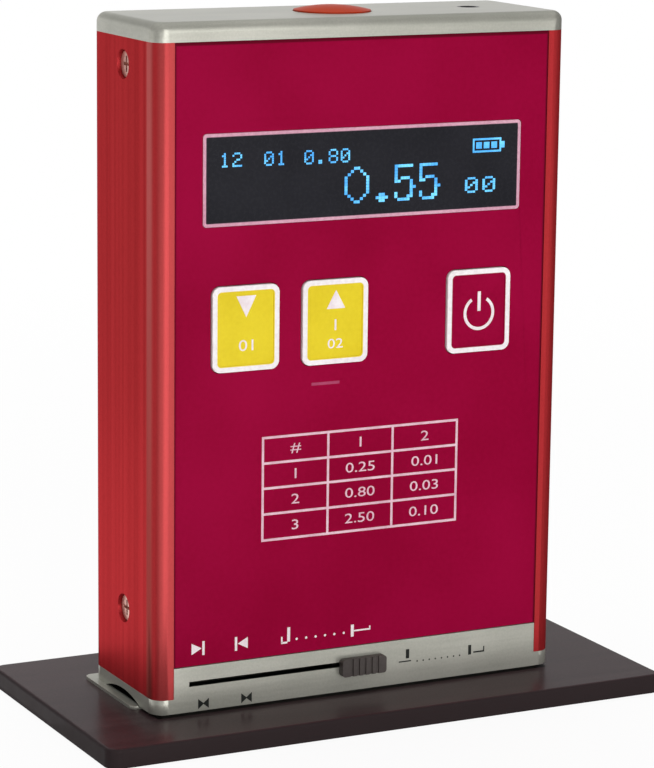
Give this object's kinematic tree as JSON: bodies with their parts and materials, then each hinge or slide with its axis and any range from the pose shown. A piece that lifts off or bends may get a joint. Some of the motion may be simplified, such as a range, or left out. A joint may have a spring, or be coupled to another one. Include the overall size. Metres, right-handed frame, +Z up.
{
  "type": "surface roughness tester",
  "caption": "Pocket stylus surface roughness tester: red extruded case, silver end caps, display and keys in front, start button on top, sliding shutter, on a flat dark plate.",
  "frame": {"origin": "middle of the stand plate's underside", "axes": "+X to the right of the display, +Y to the back, +Z up; the display faces -Y"},
  "size_m": [0.0966, 0.049, 0.1099],
  "materials": {
    "stand_plate": "semi-gloss black-brown",
    "anodised_red": "satin anodised, drawn along its length",
    "cap_silver": "satin",
    "overlay_crimson": "semi-gloss printed film",
    "key_crimson": "semi-gloss",
    "key_yellow": "semi-gloss",
    "display_dark": "gloss",
    "start_orange": "semi-gloss",
    "knob_dark": "matt",
    "socket_black": "matt",
    "switch_cream": "matt",
    "seal_foam": "matt",
    "glass_black": "gloss",
    "board_green": "solder resist",
    "cell_blue": "wrapped",
    "bright_steel": "ground",
    "frame_grey": "mill",
    "brass": "turned",
    "ruby": "polished",
    "diamond": "polished"
  },
  "bodies": {
    "tester": {"base_plate": "stand_plate", "body_shell": "anodised_red", "top_cap": "cap_silver", "bottom_cap": "cap_silver", "front_overlay": "overlay_crimson", "display_window": "display_dark", "charge_socket": "socket_black", "start_switch": "socket_black", "display_connector": "socket_black", "board_components": "socket_black", "limit_switches": "socket_black", "display_gasket": "seal_foam", "battery_pad": "seal_foam", "display_module": "glass_black", "main_board": "board_green", "switch_board": "board_green", "battery_cell": "cell_blue", "side_screws": "bright_steel", "switch_board_screws": "bright_steel", "frame_screws": "bright_steel", "motor_screws": "bright_steel", "guide_rods": "bright_steel", "key_domes": "bright_steel", "drive_motor": "bright_steel", "drive_frame": "frame_grey", "screw_bushes": "brass", "motor_gearbox": "brass"},
    "start_key": {"start_button": "start_orange", "switch_plunger": "switch_cream"},
    "down_key": {"key_down": "key_yellow"},
    "up_key": {"key_up": "key_yellow"},
    "power_key": {"key_power": "key_crimson"},
    "shutter": {"shutter_knob": "knob_dark", "shutter_plate": "bright_steel"},
    "screw": {"lead_screw": "bright_steel", "screw_coupling": "brass", "motor_shaft": "bright_steel"},
    "slide": {"carriage": "socket_black", "carriage_nut": "brass", "pickup_pin": "bright_steel"},
    "pickup": {"pickup_housing": "bright_steel", "skid": "ruby", "stylus_pin": "bright_steel"},
    "stylus": {"stylus_lever": "bright_steel", "stylus_tip": "diamond"}
  },
  "joints": [
    {"name": "start_press", "type": "slide", "parent": "tester", "child": "start_key", "axis": [0, 0, -1], "range_m": [0, 0.0008], "stiffness_N_per_m": 1200},
    {"name": "down_press", "type": "slide", "parent": "tester", "child": "down_key", "axis": [0, 1, 0], "range_m": [0, 0.0003], "stiffness_N_per_m": 900},
    {"name": "up_press", "type": "slide", "parent": "tester", "child": "up_key", "axis": [0, 1, 0], "range_m": [0, 0.0003], "stiffness_N_per_m": 900},
    {"name": "power_press", "type": "slide", "parent": "tester", "child": "power_key", "axis": [0, 1, 0], "range_m": [0, 0.0003], "stiffness_N_per_m": 900},
    {"name": "shutter_slide", "type": "slide", "parent": "tester", "child": "shutter", "axis": [-1, 0, 0], "range_m": [0, 0.027]},
    {"name": "screw_turn", "type": "hinge", "parent": "tester", "child": "screw", "pos_m": [0.0089, 0.0008, 0.02], "axis": [1, 0, 0], "range_deg": [0, 4320]},
    {"name": "slide_traverse", "type": "slide", "parent": "tester", "child": "slide", "axis": [1, 0, 0], "range_m": [0, 0.006]},
    {"name": "pickup_tilt", "type": "hinge", "parent": "slide", "child": "pickup", "pos_m": [0.0029, -0.0012, 0.011], "axis": [0, 1, 0], "range_deg": [0, 11.5]},
    {"name": "stylus_sway", "type": "hinge", "parent": "pickup", "child": "stylus", "pos_m": [0.0109, -0.0012, 0.0077], "axis": [0, 1, 0], "range_deg": [-0.5, 0.5], "stiffness_Nm_per_rad": 0.004}
  ],
  "couplings": [
    {"joint": "screw_turn", "follows": "slide_traverse", "rad_per_m": 12566},
    {"joint": "pickup_tilt", "follows": "shutter_slide", "rad_per_m": 7.43}
  ]
}
